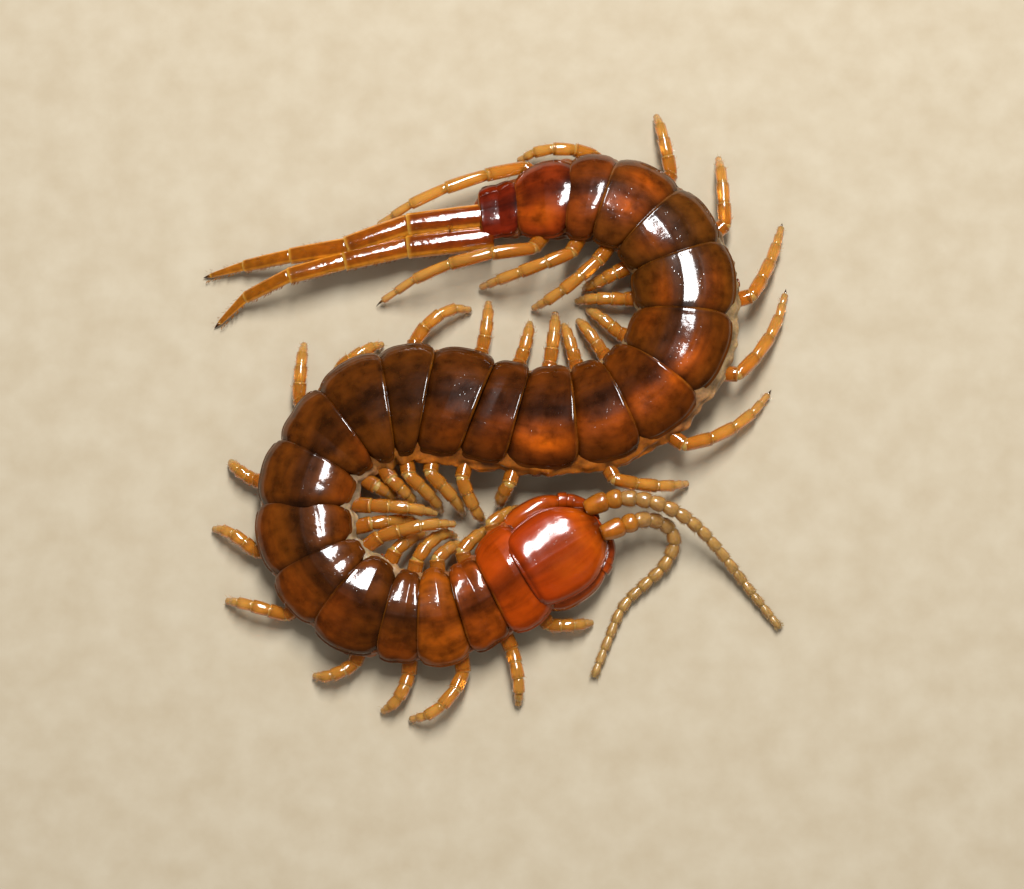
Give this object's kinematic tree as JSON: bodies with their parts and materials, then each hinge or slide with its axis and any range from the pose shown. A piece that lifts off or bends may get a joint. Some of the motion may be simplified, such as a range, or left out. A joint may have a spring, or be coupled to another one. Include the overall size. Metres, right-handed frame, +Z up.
{
  "type": "bark centipede",
  "caption": "Life-size still model of a brown bark centipede lying in an S, with an orange head, splayed legs and two long last legs trailed behind.",
  "frame": {"origin": "on the floor, under the middle of the bounding box of the whole animal", "axes": "+Z up; +Y away from the viewer of the picture, towards the bend that carries the last legs; the head points towards +X and a little +Y"},
  "size_m": [0.0252, 0.0262, 0.003],
  "materials": {
    "head cuticle": "glossy orange-red cuticle",
    "trunk cuticle": "glossy, slightly translucent amber-brown cuticle",
    "leg cuticle": "translucent amber cuticle",
    "last leg cuticle": "glossy tawny cuticle",
    "antenna cuticle": "downy tan cuticle"
  },
  "bodies": {
    "root": {"head": "head cuticle", "forcipule_base": "head cuticle", "forcipule_left": "head cuticle", "forcipule_right": "head cuticle", "antenna_left": "antenna cuticle", "antenna_right": "antenna cuticle", "trunk_01_03": "trunk cuticle", "trunk_04_06": "trunk cuticle", "trunk_07_09": "trunk cuticle", "trunk_10_12": "trunk cuticle", "trunk_13_15": "trunk cuticle", "trunk_16_18": "trunk cuticle", "trunk_19_21": "trunk cuticle", "trunk_22_23": "trunk cuticle", "leg_left_01": "leg cuticle", "leg_left_02": "leg cuticle", "leg_left_03": "leg cuticle", "leg_left_04": "leg cuticle", "leg_left_05": "leg cuticle", "leg_left_06": "leg cuticle", "leg_left_07": "leg cuticle", "leg_left_08": "leg cuticle", "leg_left_09": "leg cuticle", "leg_left_10": "leg cuticle", "leg_left_11": "leg cuticle", "leg_left_12": "leg cuticle", "leg_left_13": "leg cuticle", "leg_left_14": "leg cuticle", "leg_left_15": "leg cuticle", "leg_left_16": "leg cuticle", "leg_left_17": "leg cuticle", "leg_left_18": "leg cuticle", "leg_left_19": "leg cuticle", "leg_left_20": "leg cuticle", "leg_left_21": "leg cuticle", "leg_left_22": "leg cuticle", "leg_right_01": "leg cuticle", "leg_right_02": "leg cuticle", "leg_right_03": "leg cuticle", "leg_right_04": "leg cuticle", "leg_right_05": "leg cuticle", "leg_right_06": "leg cuticle", "leg_right_07": "leg cuticle", "leg_right_08": "leg cuticle", "leg_right_09": "leg cuticle", "leg_right_10": "leg cuticle", "leg_right_11": "leg cuticle", "leg_right_12": "leg cuticle", "leg_right_13": "leg cuticle", "leg_right_14": "leg cuticle", "leg_right_15": "leg cuticle", "leg_right_16": "leg cuticle", "leg_right_17": "leg cuticle", "leg_right_18": "leg cuticle", "leg_right_19": "leg cuticle", "leg_right_20": "leg cuticle", "leg_right_21": "leg cuticle", "leg_right_22": "leg cuticle", "last_leg_left": "last leg cuticle", "last_leg_right": "last leg cuticle"}
  },
  "joints": []
}
